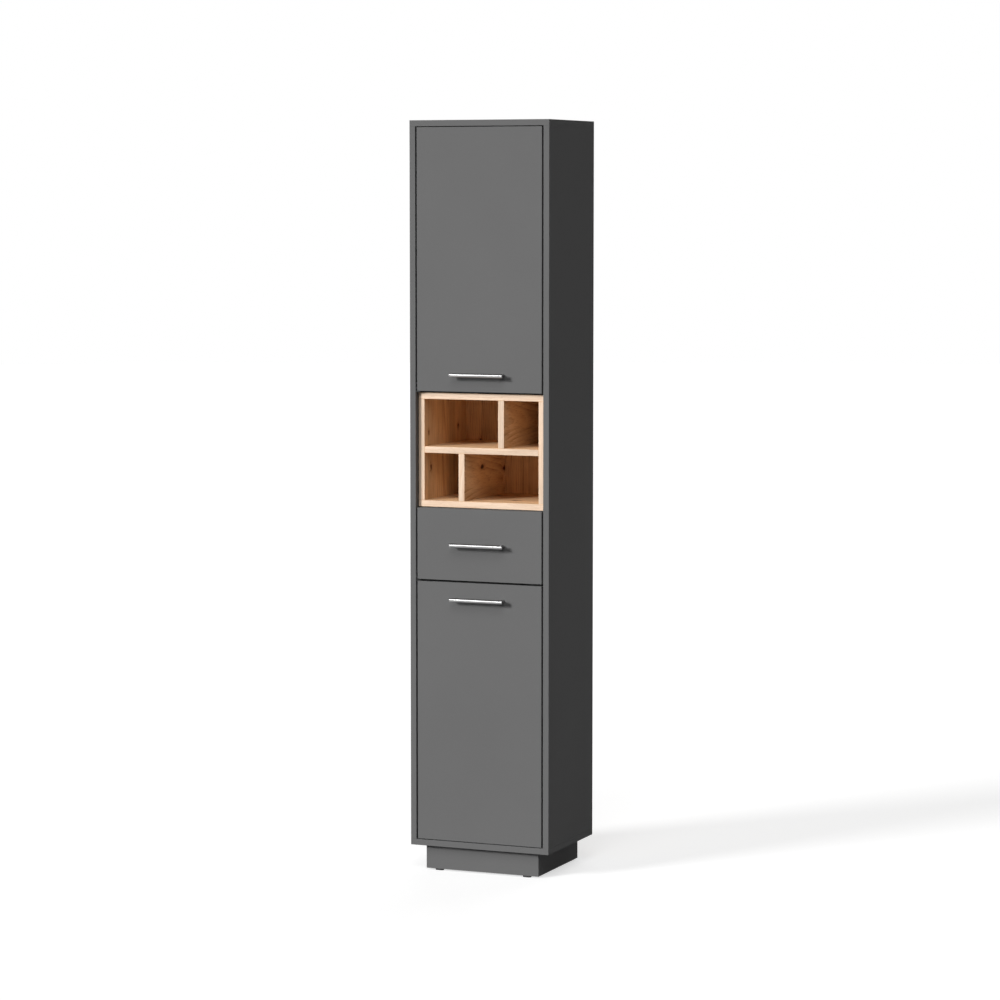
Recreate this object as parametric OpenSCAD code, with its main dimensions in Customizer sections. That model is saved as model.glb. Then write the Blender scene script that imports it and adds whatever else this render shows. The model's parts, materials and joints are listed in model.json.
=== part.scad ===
// Tall bathroom cabinet: two inset doors, a drawer and an open oak niche.
// X runs to the right, Y to the wall and Z up. The origin is on the floor, below the
// middle of the box that holds the cabinet with its handles.

/* [Cabinet] */
// Width of the cabinet
cabinet_w = 370; // [340:5:450]
// Depth of the boards, from the fronts to the wall
cabinet_d = 300; // [290:5:380]
// Thickness of the grey boards
board_t = 15; // [15:0.5:18]
// Thickness of the back panels
back_t = 3; // [2.5:0.5:4]
// Distance from the wall to the back panels
back_inset = 10; // [8:1:16]
// Depth of the grooves that hold the back panels
groove_depth = 6; // [4:0.5:8]
// Play at the edges of the back panels in their grooves
back_end_play = 0.5; // [0.3:0.1:1]

/* [Base] */
// Height of the glides under the plinth
glide_h = 4; // [3:0.5:8]
// Length of one glide
glide_len = 22; // [18:1:30]
// Width of one glide
glide_w = 13; // [10:0.5:14]
// Distance from the plinth's end to the middle of a glide
glide_inset = 33; // [25:1:50]
// Diameter of the nail on a glide
glide_nail_d = 3; // [2:0.5:4]
// Length of that nail in the plinth
glide_nail_len = 10; // [8:1:20]
// Height of the plinth boards
plinth_h = 60; // [50:5:120]
// How far the plinth stands in from each side
plinth_side_inset = 34; // [20:1:50]
// How far the plinth stands back from the fronts
plinth_front_inset = 19; // [16:1:50]
// How far the plinth stands in from the wall
plinth_rear_inset = 16; // [14:1:40]

/* [Fronts] */
// Thickness of the doors and of the drawer front
front_t = 15; // [15:0.5:18]
// Gap between a front and the side panels
side_gap = 4.3; // [3.5:0.1:5]
// Gap above the upper door and below the lower door
end_gap = 2; // [1.5:0.5:4]
// Gap between the lower door and the drawer front
middle_gap = 5; // [3:0.5:6]
// Gap between the drawer front and the niche
niche_low_gap = 2; // [1.5:0.5:4]
// Gap between the niche and the upper door
niche_high_gap = 4.5; // [3:0.5:6]
// Height of the lower door
lower_door_h = 647; // [560:1:760]
// Height of the drawer front
drawer_front_h = 177.5; // [170:0.5:240]
// Height of the upper door
upper_door_h = 647; // [560:1:760]

/* [Shelves] */
// How far the lower door covers the shelf above it
door_overlap = 9; // [8:0.5:11]
// Space between a closed front and the shelf behind it
stop_gap = 2.5; // [2:0.1:3]
// Diameter of the magnet that holds a door shut
magnet_d = 7; // [5:0.5:8]
// Length of a magnet inside its shelf
magnet_sink = 8; // [6:0.5:12]
// Distance from a door's free edge to its magnet
magnet_inset = 20; // [15:1:60]
// Thickness of the steel plate that meets a magnet
striker_t = 1; // [0.5:0.1:1.5]
// Width of that plate
striker_w = 24; // [16:1:30]
// Height of that plate
striker_h = 8; // [7:0.5:8]
// Height of the loose shelf above the bottom of the lower compartment
lower_shelf_rise = 310; // [200:1:400]
// Height of the loose shelf above the bottom of the upper compartment
upper_shelf_rise = 310; // [200:1:400]
// Play of a loose shelf at each end
shelf_play = 1; // [0.5:0.5:2]
// How far a loose shelf stands back from a closed door
shelf_setback = 4; // [2:1:20]
// Space between a loose shelf and the back panel
shelf_rear_play = 2; // [1:0.5:10]
// Diameter of a shelf pin
pin_d = 5; // [4:0.5:6]
// Length of a shelf pin inside the side panel
pin_sink = 9; // [7:0.5:10]
// Length of a shelf pin under the shelf
pin_reach = 9; // [7:0.5:12]
// Distance between the holes in a row of pin holes
pin_pitch = 32; // [25:1:50]
// Distance from a shelf's front or rear edge to its pins
pin_margin = 40; // [30:1:50]

/* [Niche] */
// Height of the oak box
niche_h = 283; // [260:1:330]
// How far the oak box stands back from the fronts
niche_recess = 14; // [5:1:30]
// Gap between the oak box and the side panels
niche_side_gap = 2; // [1:0.1:3]
// Gap between the oak box and the shelf over it
niche_top_gap = 0.5; // [0.3:0.1:1]
// Gap between the oak box and the back panel
niche_rear_gap = 3; // [1:0.5:10]
// Thickness of the oak boards
oak_t = 16; // [14:0.5:19]
// Thickness of the oak back
niche_back_t = 8; // [6:0.5:12]
// Distance from the cabinet's middle to the middle of each divider
divider_offset = 52.7; // [30:0.1:80]

/* [Handles] */
// Diameter of a handle's bar
handle_d = 10; // [8:0.5:12]
// Length of a handle's bar
handle_len = 141; // [135:1:200]
// Chamfer at the ends of a handle's bar
handle_chamfer = 0.8; // [0.3:0.1:1.5]
// How far a handle stands out from its front
handle_reach = 25; // [22:0.5:35]
// Distance between the two posts of a handle
post_spacing = 128; // [96:1:128]
// Diameter of a handle's post
post_d = 8; // [7:0.5:9]
// Distance from a door's edge to its handle
handle_inset = 41.5; // [30:0.5:60]
// Diameter of a handle's screw
handle_screw_d = 4; // [3:0.5:5]
// How far a handle's screw goes into its post
handle_screw_grip = 10; // [6:0.5:12]
// Diameter of a handle screw's head
handle_screw_head_d = 8; // [7:0.5:9]
// Height of a handle screw's head
handle_screw_head_h = 2.5; // [2:0.1:3]
// How much narrower a round screw head is on its outside
head_taper = 2; // [1:0.5:3]

/* [Joints between boards] */
// Diameter of a cam lock
cam_d = 15; // [12:0.5:15]
// Depth of a cam lock in its board
cam_depth = 12; // [11:0.5:13]
// Distance from a board's end to the middle of its cam locks
cam_run = 34; // [24:0.5:34]
// Width of the cross slot in a cam lock
cam_slot_w = 2; // [1:0.5:3]
// Depth of the cross slot in a cam lock
cam_slot_depth = 2.5; // [1:0.5:3]
// Distance from the end of the cross slot to the edge of the cam lock
cam_slot_margin = 2; // [1:0.5:4]
// Diameter of the bolt that a cam lock pulls on
cam_bolt_d = 7; // [6:0.5:8]
// Diameter of that bolt's thread
cam_thread_d = 5; // [4:0.5:6]
// Length of that bolt's thread in the other board
cam_thread_len = 11; // [9:0.5:12]
// Length of the head that the cam lock grips
cam_head_len = 3; // [2:0.5:4]
// How much thinner that head is than the bolt
cam_head_cut = 0.5; // [0.3:0.1:1]
// How much thinner the neck behind the head is than the bolt
cam_neck_cut = 2.5; // [1.5:0.5:3]
// Distance from a shelf's edge to its cam locks
cam_margin = 40; // [30:1:50]
// Diameter of a wooden dowel
dowel_d = 8; // [6:0.5:8]
// Length of a dowel in the end of a board
dowel_deep = 20; // [15:0.5:25]
// Length of a dowel in the face of a board
dowel_shallow = 10; // [8:0.5:11]
// Chamfer at the ends of a dowel
dowel_chamfer = 1; // [0.5:0.5:2]
// Distance from a cam lock to the dowel beside it
dowel_step = 32; // [25:1:40]
// Distance from a side panel's edge to the outer dowels in its seam
seam_margin = 30; // [20:1:50]
// Distance from the cabinet's middle to a dowel in the plinth
plinth_dowel_x = 70; // [50:1:80]

/* [Door pivots] */
// Distance from a door's hinge edge to its pivot
pivot_side = 5.5; // [5:0.1:6]
// Distance from a door's face to its pivot
pivot_depth = 5.5; // [5:0.1:6]
// Diameter of a pivot pin
pivot_pin_d = 4; // [3:0.5:4.5]
// Length of a pivot pin inside the door
pivot_pin_len = 8; // [6:0.5:12]
// Play around the end of a pivot pin, beyond the plate that guides it
pin_clear = 0.5; // [0.3:0.1:0.8]
// Thickness of a pivot plate, sunk in the end of a door or in the board that faces it
pivot_plate_t = 2.5; // [2:0.5:3]
// Width of a pivot plate
pivot_plate_w = 8; // [7:0.5:8.5]
// Distance from the pin to the screw at the far end of a pivot plate
pivot_plate_len = 36; // [30:1:60]
// Distance from the pin to the nearer screw of a pivot plate
pivot_plate_screw_run = 14; // [12:0.5:20]
// Thickness of a pivot bracket under or over a door's end
pivot_bracket_t = 1.8; // [1.5:0.1:2]
// Gap between a pivot bracket and the door's end
pivot_bracket_gap = 0.8; // [0.6:0.1:0.9]
// Height of the pivot bracket's leg on the side panel
pivot_leg_h = 28; // [24:1:40]
// Thickness of the pivot bracket's leg
pivot_leg_t = 1.5; // [1:0.1:1.5]
// Height of the lower screw in that leg
leg_screw_low = 10; // [8:0.5:10]
// Distance between the two screws in that leg
leg_screw_step = 11; // [8:0.5:11]
// Diameter of the screws that hold the pivot plates and brackets
pivot_screw_d = 3; // [2.5:0.5:3.5]
// Length of those screws
pivot_screw_len = 12; // [9:0.5:13]
// Diameter of their countersunk heads
pivot_screw_head_d = 5.6; // [5:0.1:6]
// Height of their countersunk heads
pivot_screw_head_h = 1.4; // [1.2:0.1:1.5]

/* [Drawer] */
// Space at each side of the drawer for its runners
runner_space = 12.5; // [12.5:0.1:13.5]
// Thickness of the drawer's sides and back
drawer_t = 12; // [10:0.5:15]
// Thickness of the drawer's bottom
drawer_bottom_t = 3; // [3:0.5:5]
// Height of the drawer's sides
drawer_box_h = 105; // [80:1:115]
// Space behind the closed drawer
drawer_rear_gap = 22; // [14:1:50]
// Height of the drawer's bottom above the lower edge of its sides
drawer_groove_rise = 10; // [5:1:20]
// Depth of the grooves that hold the drawer's bottom
drawer_groove_depth = 5; // [3:0.5:6]
// Play of the drawer's bottom in the groove of the front
drawer_bottom_play = 0.5; // [0.3:0.1:1]
// Height of the runners above the shelf under the drawer
runner_rise = 12; // [8:1:20]
// Diameter of a runner's wheel
wheel_d = 16; // [14:0.5:17]
// Width of a runner's wheel
wheel_w = 6; // [5:0.1:6.2]
// Diameter of a wheel's axle
axle_d = 4; // [3:0.5:5]
// Diameter of the shoulder between a wheel and its runner
shoulder_d = 7; // [6:0.5:8]
// Diameter of the head that keeps a wheel on its axle
axle_head_d = 6.5; // [6:0.5:8]
// Thickness of that head
axle_head_t = 0.6; // [0.4:0.1:0.8]
// Thickness of the runners' sheet steel
steel_t = 1.2; // [1:0.1:1.4]
// Gap between a runner's flange and the upright of the other runner
flange_gap = 1; // [0.6:0.1:1.5]
// Gap between the upper flanges of the two runners
top_flange_gap = 0.8; // [0.5:0.1:1.5]
// Distance from the shelf's side of the closed front to the cabinet runner
runner_setback = 2; // [2:0.5:5]
// Distance from the drawer front to the middle of the cabinet runner's wheel
front_wheel_run = 14; // [12:0.5:20]
// Distance from the drawer's rear to the middle of its own wheel
rear_wheel_run = 10; // [9:0.5:20]

/* [Wall bracket] */
// Length of each leg of the bracket that keeps the cabinet from tipping
bracket_leg = 30; // [24:1:40]
// Width of the bracket
bracket_w = 18; // [15:1:25]
// Thickness of the bracket
bracket_t = 2; // [1.5:0.5:3]
// Diameter of the hole for the screw into the wall
wall_hole_d = 6; // [5:0.5:7]
// Distance from the bracket's corner to each of its holes
bracket_hole_run = 18; // [14:0.5:19]
// Diameter of the screw into the top panel
bracket_screw_d = 4; // [3:0.5:5]
// Length of that screw in the top panel
bracket_screw_len = 12; // [9:0.5:13]
// Diameter of that screw's head
bracket_screw_head_d = 8; // [7:0.5:9]
// Height of that screw's head
bracket_screw_head_h = 2.5; // [2:0.1:3]

/* [Fits] */
// Play around a dowel, bolt, screw, plate or cam lock in its hole
play = 0.1; // [0.05:0.05:0.2]
// Play between an axle and its wheel, or a pivot pin and its plate
running = 0.05; // [0.02:0.01:0.1]
// Space that keeps turning pieces clear of what they run on
roll_gap = 0.3; // [0.3:0.1:0.5]

/* [Hidden] */
$fn = 64;

// How far a cut runs past the face that it opens
past = 1;

// Plan of the cabinet
half_w = cabinet_w / 2;
inner_half = half_w - board_t;
front_half = inner_half - side_gap;
front_y = (handle_reach - cabinet_d) / 2;
wall_y = front_y + cabinet_d;
back_y = wall_y - back_inset - back_t;
front_back_y = front_y + front_t;
shelf_y = front_back_y + stop_gap;

// Heights from the floor up
body_z = glide_h + plinth_h;
lower_z = body_z + board_t;
lower_door_z = lower_z + end_gap;
lower_door_top = lower_door_z + lower_door_h;
drawer_shelf_z = lower_door_top - door_overlap;
drawer_front_z = lower_door_top + middle_gap;
niche_z = drawer_front_z + drawer_front_h + niche_low_gap;
niche_floor_z = niche_z - board_t;
niche_roof_z = niche_z + niche_h + niche_top_gap;
upper_z = niche_roof_z + board_t;
upper_door_z = niche_z + niche_h + niche_high_gap;
upper_door_top = upper_door_z + upper_door_h;
top_z = upper_door_top + end_gap;
cabinet_h = top_z + board_t;
lower_shelf_z = lower_z + lower_shelf_rise;
upper_shelf_z = upper_z + upper_shelf_rise;

// Rows of cam locks, dowels and shelf pins, from the fronts to the wall
cam_rows = [shelf_y + cam_margin, back_y - cam_margin];
dowel_rows = [cam_rows[0] + dowel_step, cam_rows[1] - dowel_step];
seam_rows = [front_y + seam_margin, front_y + cabinet_d / 2, wall_y - seam_margin];
pin_rows = [shelf_y + pin_margin, back_y - pin_margin];

module board(x, y, z) {
  translate([x[0], y[0], z[0]])
    cube([x[1] - x[0], y[1] - y[0], z[1] - z[0]]);
}

module rod_x(length, d) {
  rotate([0, 90, 0])
    cylinder(h = length, d = d);
}

module rod_y(length, d) {
  rotate([-90, 0, 0])
    cylinder(h = length, d = d);
}

// Draws its children at the right side and mirrored at the left
module both_sides() {
  children();
  mirror([1, 0, 0])
    children();
}

// Joint pieces lie along X here. The face of one board is at x = 0, its inside is
// at +X, and the board whose end meets it runs to -X with its middle at z = 0.
module cam_bore() {
  translate([-cam_run, 0, -board_t / 2 - past])
    cylinder(h = cam_depth + past + play, d = cam_d + 2 * play);
}

module bolt_bore() {
  rod_x(cam_thread_len + play, cam_thread_d + 2 * play);
  translate([-cam_run, 0, 0])
    rod_x(cam_run, cam_bolt_d + 2 * play);
}

module dowel_bore() {
  translate([-dowel_deep - play, 0, 0])
    rod_x(dowel_deep + dowel_shallow + 2 * play, dowel_d + 2 * play);
}

module cam_lock() {
  slot_len = cam_d - 2 * cam_slot_margin;
  translate([-cam_run, 0, -board_t / 2])
    difference() {
      cylinder(h = cam_depth, d = cam_d);
      translate([0, 0, board_t / 2])
        rod_x(cam_d, cam_bolt_d + 2 * play);
      for (turn = [45, 135])
        rotate([0, 0, turn])
          translate([-slot_len / 2, -cam_slot_w / 2, -past])
            cube([slot_len, cam_slot_w, cam_slot_depth + past]);
    }
}

module cam_bolt() {
  shaft_len = cam_run - cam_d / 2;
  head_x = -cam_run + cam_head_len / 2;
  rod_x(cam_thread_len, cam_thread_d);
  translate([-shaft_len, 0, 0])
    rod_x(shaft_len, cam_bolt_d);
  translate([head_x, 0, 0])
    rod_x(cam_d / 2, cam_bolt_d - cam_neck_cut);
  translate([head_x, 0, 0])
    rod_x(cam_head_len, cam_bolt_d - cam_head_cut);
}

module dowel() {
  length = dowel_deep + dowel_shallow;
  tip_d = dowel_d - 2 * dowel_chamfer;
  translate([-dowel_deep, 0, 0])
    rotate([0, 90, 0])
      union() {
        cylinder(h = dowel_chamfer, d1 = tip_d, d2 = dowel_d);
        translate([0, 0, dowel_chamfer])
          cylinder(h = length - 2 * dowel_chamfer, d = dowel_d);
        translate([0, 0, length - dowel_chamfer])
          cylinder(h = dowel_chamfer, d1 = dowel_d, d2 = tip_d);
      }
}

// Where the ends of a fixed shelf meet the side panels
module shelf_places(z, rows) {
  both_sides()
    for (y = rows)
      translate([inner_half, y, z + board_t / 2])
        children();
}

// Where the side panels meet the top panel
module top_places(rows) {
  both_sides()
    for (y = rows)
      translate([inner_half + board_t / 2, y, top_z])
        rotate([0, -90, 0])
          rotate([180, 0, 0])
            children();
}

// Where the side panels meet the bottom panel
module bottom_places(rows) {
  both_sides()
    for (y = rows)
      translate([inner_half + board_t / 2, y, lower_z])
        rotate([0, 90, 0])
          children();
}

// Where the upper side panels stand on the lower ones
module seam_places() {
  both_sides()
    for (y = seam_rows)
      translate([inner_half + board_t / 2, y, niche_z])
        rotate([0, -90, 0])
          children();
}

// Where the plinth meets the bottom panel
module plinth_places() {
  both_sides()
    for (y = [front_y + plinth_front_inset, wall_y - plinth_rear_inset - board_t])
      translate([plinth_dowel_x, y + board_t / 2, body_z])
        rotate([0, -90, 0])
          children();
}

module shelf_bores(z) {
  shelf_places(z, cam_rows) {
    cam_bore();
    bolt_bore();
  }
  shelf_places(z, dowel_rows)
    dowel_bore();
}

module top_bores() {
  top_places(cam_rows) {
    cam_bore();
    bolt_bore();
  }
  top_places(dowel_rows)
    dowel_bore();
}

module bottom_bores() {
  bottom_places(cam_rows) {
    cam_bore();
    bolt_bore();
  }
  bottom_places(dowel_rows)
    dowel_bore();
}

FIXED_SHELVES = [drawer_shelf_z, niche_floor_z, niche_roof_z];

module cam_locks() {
  color("silver") {
    for (z = FIXED_SHELVES)
      shelf_places(z, cam_rows)
        cam_lock();
    top_places(cam_rows)
      cam_lock();
    bottom_places(cam_rows)
      cam_lock();
  }
}

module cam_bolts() {
  color("gray") {
    for (z = FIXED_SHELVES)
      shelf_places(z, cam_rows)
        cam_bolt();
    top_places(cam_rows)
      cam_bolt();
    bottom_places(cam_rows)
      cam_bolt();
  }
}

module dowels() {
  color("burlywood") {
    for (z = FIXED_SHELVES)
      shelf_places(z, dowel_rows)
        dowel();
    top_places(dowel_rows)
      dowel();
    bottom_places(dowel_rows)
      dowel();
    seam_places()
      dowel();
    plinth_places()
      dowel();
  }
}

// Grooves for the back panels
groove_y = [back_y - play, back_y + back_t + play];
groove_half = inner_half + groove_depth;

module top_panel() {
  color("dimgray")
    difference() {
      board([-half_w, half_w], [front_y, wall_y], [top_z, cabinet_h]);
      board([-groove_half, groove_half], groove_y, [top_z - past, top_z + groove_depth]);
      top_bores();
      bracket_screw_bore();
      at_pivot(top_z)
        plate_room();
    }
}

module bottom_panel() {
  color("dimgray")
    difference() {
      board([-half_w, half_w], [front_y, wall_y], [body_z, lower_z]);
      board([-groove_half, groove_half], groove_y, [lower_z - groove_depth, lower_z + past]);
      bottom_bores();
      plinth_places()
        dowel_bore();
      at_pivot(lower_z)
        mirror([0, 0, 1])
          plate_room();
    }
}

// Three holes of a row of pin holes, the middle one under the loose shelf
module pin_holes(shelf_z) {
  for (y = pin_rows, step = [-1, 0, 1])
    translate([inner_half - past, y, shelf_z - pin_d / 2 + step * pin_pitch])
      rod_x(pin_sink + play + past, pin_d + 2 * play);
}

module side_board(z) {
  difference() {
    board([inner_half, half_w], [front_y, wall_y], z);
    board([inner_half - past, groove_half], groove_y, [z[0] - past, z[1] + past]);
  }
}

module lower_side() {
  color("dimgray")
    difference() {
      side_board([lower_z, niche_z]);
      bottom_bores();
      shelf_bores(drawer_shelf_z);
      shelf_bores(niche_floor_z);
      seam_places()
        dowel_bore();
      pin_holes(lower_shelf_z);
    }
}

module upper_side() {
  color("dimgray")
    difference() {
      side_board([niche_z, top_z]);
      top_bores();
      shelf_bores(niche_roof_z);
      seam_places()
        dowel_bore();
      pin_holes(upper_shelf_z);
    }
}

module left_side_lower() {
  color("dimgray")
    difference() {
      mirror([1, 0, 0])
        lower_side();
      at_pivot(lower_bracket_z)
        at_leg_screws()
          screw_bore();
    }
}

module right_side_lower() {
  lower_side();
}

module left_side_upper() {
  color("dimgray")
    difference() {
      mirror([1, 0, 0])
        upper_side();
      at_pivot(upper_bracket_z)
        at_leg_screws()
          screw_bore();
    }
}

module right_side_upper() {
  upper_side();
}

module fixed_shelf(z) {
  color("dimgray")
    difference() {
      board([-inner_half, inner_half], [shelf_y, back_y], [z, z + board_t]);
      shelf_bores(z);
    }
}

module drawer_shelf() {
  color("dimgray")
    difference() {
      fixed_shelf(drawer_shelf_z);
      at_magnet(lower_catch_z)
        magnet_bore();
    }
}

module niche_floor() {
  fixed_shelf(niche_floor_z);
}

module niche_roof() {
  color("dimgray")
    difference() {
      fixed_shelf(niche_roof_z);
      at_magnet(upper_catch_z)
        magnet_bore();
    }
}

module loose_shelf(z) {
  color("dimgray")
    board([-inner_half + shelf_play, inner_half - shelf_play],
      [front_back_y + shelf_setback, back_y - shelf_rear_play], [z, z + board_t]);
}

module lower_shelf() {
  loose_shelf(lower_shelf_z);
}

module upper_shelf() {
  loose_shelf(upper_shelf_z);
}

module shelf_pins() {
  color("silver")
    both_sides()
      for (z = [lower_shelf_z, upper_shelf_z], y = pin_rows)
        translate([inner_half - pin_reach, y, z - pin_d / 2])
          rod_x(pin_reach + pin_sink, pin_d);
}

// The two back panels meet behind the middle of the shelf under the niche
back_split_z = niche_floor_z + board_t / 2;
back_half = groove_half - back_end_play;

module lower_back() {
  color("gray")
    board([-back_half, back_half], [back_y, back_y + back_t],
      [lower_z - groove_depth + back_end_play, back_split_z]);
}

module upper_back() {
  color("gray")
    difference() {
      board([-back_half, back_half], [back_y, back_y + back_t],
        [back_split_z, top_z + groove_depth - back_end_play]);
      wall_hole();
    }
}

// Plinth and glides
plinth_half = half_w - plinth_side_inset;
plinth_front = front_y + plinth_front_inset;
plinth_rear = wall_y - plinth_rear_inset;

module at_glides() {
  both_sides()
    for (y = [plinth_front + board_t / 2, plinth_rear - board_t / 2])
      translate([plinth_half - glide_inset, y, 0])
        children();
}

module glide_nail_bores() {
  at_glides()
    translate([0, 0, glide_h - past])
      cylinder(h = past + glide_nail_len + play, d = glide_nail_d + 2 * play);
}

module plinth_front_board() {
  color("dimgray")
    difference() {
      board([-plinth_half, plinth_half], [plinth_front, plinth_front + board_t], [glide_h, body_z]);
      plinth_places()
        dowel_bore();
      glide_nail_bores();
    }
}

module plinth_rear_board() {
  color("dimgray")
    difference() {
      board([-plinth_half, plinth_half], [plinth_rear - board_t, plinth_rear], [glide_h, body_z]);
      plinth_places()
        dowel_bore();
      glide_nail_bores();
    }
}

module plinth_sides() {
  color("dimgray")
    both_sides()
      board([plinth_half - board_t, plinth_half],
        [plinth_front + board_t, plinth_rear - board_t], [glide_h, body_z]);
}

module floor_glides() {
  color("black")
    at_glides() {
      linear_extrude(glide_h)
        union() {
          square([glide_len - glide_w, glide_w], center = true);
          for (end = [-1, 1])
            translate([end * (glide_len - glide_w) / 2, 0])
              circle(d = glide_w);
        }
      translate([0, 0, glide_h - past])
        cylinder(h = past + glide_nail_len, d = glide_nail_d);
    }
}

// The oak box of the niche
oak_half = inner_half - niche_side_gap;
oak_front = front_y + niche_recess;
oak_rear = back_y - niche_rear_gap;
oak_depth = [oak_front, oak_rear - niche_back_t];
oak_top = niche_z + niche_h;
middle_z = niche_z + (niche_h - oak_t) / 2;

module niche_top_board() {
  color("burlywood")
    board([-oak_half, oak_half], oak_depth, [oak_top - oak_t, oak_top]);
}

module niche_bottom_board() {
  color("burlywood")
    board([-oak_half, oak_half], oak_depth, [niche_z, niche_z + oak_t]);
}

module niche_right_board() {
  color("burlywood")
    board([oak_half - oak_t, oak_half], oak_depth, [niche_z + oak_t, oak_top - oak_t]);
}

module niche_left_board() {
  mirror([1, 0, 0])
    niche_right_board();
}

module niche_middle_shelf() {
  color("burlywood")
    board([-oak_half + oak_t, oak_half - oak_t], oak_depth, [middle_z, middle_z + oak_t]);
}

module niche_upper_divider() {
  color("burlywood")
    board([divider_offset - oak_t / 2, divider_offset + oak_t / 2], oak_depth,
      [middle_z + oak_t, oak_top - oak_t]);
}

module niche_lower_divider() {
  color("burlywood")
    board([-divider_offset - oak_t / 2, -divider_offset + oak_t / 2], oak_depth,
      [niche_z + oak_t, middle_z]);
}

module niche_back_board() {
  color("burlywood")
    board([-oak_half, oak_half], [oak_rear - niche_back_t, oak_rear], [niche_z, oak_top]);
}

// The bracket that holds the cabinet to the wall, inside the upper compartment
wall_hole_z = top_z - bracket_hole_run;
bracket_screw_y = back_y - bracket_hole_run;

module wall_hole() {
  translate([0, back_y - bracket_t - past, wall_hole_z])
    rod_y(bracket_t + back_t + 2 * past, wall_hole_d);
}

module bracket_screw_bore() {
  translate([0, bracket_screw_y, top_z - bracket_t - past])
    cylinder(h = bracket_t + past + bracket_screw_len + play, d = bracket_screw_d + 2 * play);
}

module wall_bracket() {
  color("silver")
    difference() {
      union() {
        board([-bracket_w / 2, bracket_w / 2], [back_y - bracket_t, back_y],
          [top_z - bracket_leg, top_z]);
        board([-bracket_w / 2, bracket_w / 2], [back_y - bracket_leg, back_y],
          [top_z - bracket_t, top_z]);
      }
      wall_hole();
      bracket_screw_bore();
    }
}

module bracket_screw() {
  color("silver")
    translate([0, bracket_screw_y, top_z - bracket_t]) {
      cylinder(h = bracket_t + bracket_screw_len, d = bracket_screw_d);
      mirror([0, 0, 1])
        cylinder(h = bracket_screw_head_h, d1 = bracket_screw_head_d,
          d2 = bracket_screw_head_d - head_taper);
    }
}

// A magnet in a shelf's edge holds each door shut, against a steel plate on the door
lower_catch_z = (drawer_shelf_z + lower_door_top) / 2;
upper_catch_z = (upper_door_z + upper_z) / 2;

module at_magnet(z) {
  translate([front_half - magnet_inset, shelf_y, z])
    children();
}

module magnet_bore() {
  translate([0, -past, 0])
    rod_y(past + magnet_sink + play, magnet_d + 2 * play);
}

module door_magnets() {
  proud = stop_gap - striker_t;
  color("silver")
    for (z = [lower_catch_z, upper_catch_z])
      at_magnet(z)
        translate([0, -proud, 0])
          rod_y(proud + magnet_sink, magnet_d);
}

module striker(z) {
  color("silver")
    at_magnet(z)
      board([-striker_w / 2, striker_w / 2], [-stop_gap, striker_t - stop_gap],
        [-striker_h / 2, striker_h / 2]);
}

// Handles: a round bar on two posts, each held by a screw from behind
module at_posts(z) {
  for (side = [-1, 1])
    translate([side * post_spacing / 2, front_y, z])
      children();
}

module handle(z) {
  half_len = handle_len / 2;
  bar_r = handle_d / 2;
  color("silver")
    difference() {
      union() {
        translate([0, front_y - handle_reach + bar_r, z])
          rotate([0, 90, 0])
            rotate_extrude()
              polygon([
                [0, -half_len],
                [bar_r - handle_chamfer, -half_len],
                [bar_r, -half_len + handle_chamfer],
                [bar_r, half_len - handle_chamfer],
                [bar_r - handle_chamfer, half_len],
                [0, half_len]
              ]);
        at_posts(z)
          rotate([90, 0, 0])
            cylinder(h = handle_reach - bar_r, d = post_d);
      }
      at_posts(z)
        translate([0, past, 0])
          rotate([90, 0, 0])
            cylinder(h = past + handle_screw_grip + play, d = handle_screw_d + 2 * play);
    }
}

module handle_bores(z) {
  at_posts(z)
    translate([0, -past, 0])
      rod_y(front_t + 2 * past, handle_screw_d + 2 * play);
}

module handle_screws(z) {
  color("silver")
    at_posts(z) {
      translate([0, -handle_screw_grip, 0])
        rod_y(handle_screw_grip + front_t, handle_screw_d);
      translate([0, front_t, 0])
        rotate([-90, 0, 0])
          cylinder(h = handle_screw_head_h, d1 = handle_screw_head_d,
            d2 = handle_screw_head_d - head_taper);
    }
}

upper_handle_z = upper_door_z + handle_inset;
lower_handle_z = lower_door_top - handle_inset;
drawer_handle_z = drawer_front_z + drawer_front_h / 2;

// Drawer: its box hangs between two runners with wheels
drawer_half = inner_half - runner_space;
runner_z = drawer_shelf_z + board_t + runner_rise;
drawer_rear = back_y - drawer_rear_gap;
wheel_z = runner_z + steel_t + roll_gap + wheel_d / 2;
// A sheet steel runner's flanges, from its foot up
flange_z = wheel_z + wheel_d / 2 + roll_gap;
top_flange_z = flange_z + steel_t + top_flange_gap;
// Distances across a runner, from the side panel to the drawer
wheel_u = (runner_space - wheel_w) / 2;
front_wheel_y = front_back_y + front_wheel_run;
rear_wheel_y = drawer_rear - rear_wheel_run;

// A bar along a runner: u counts from the side panel towards the drawer
module runner_bar(u, y, z) {
  board([inner_half - u[1], inner_half - u[0]], y, z);
}

// A short rod across a runner
module runner_rod(u, d) {
  translate([inner_half - u[1], 0, 0])
    rod_x(u[1] - u[0], d);
}

module cabinet_runner() {
  y = [front_back_y + runner_setback, drawer_rear + runner_setback];
  u = [0, runner_space - steel_t - flange_gap];
  runner_bar([0, steel_t], y, [runner_z, top_flange_z + steel_t]);
  runner_bar(u, y, [runner_z, runner_z + steel_t]);
  runner_bar(u, y, [top_flange_z, top_flange_z + steel_t]);
  translate([0, front_wheel_y, wheel_z]) {
    runner_rod([0, wheel_u - roll_gap], shoulder_d);
    runner_rod([0, wheel_u + wheel_w + roll_gap + axle_head_t], axle_d);
    runner_rod([wheel_u + wheel_w + roll_gap, wheel_u + wheel_w + roll_gap + axle_head_t],
      axle_head_d);
  }
}

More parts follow.
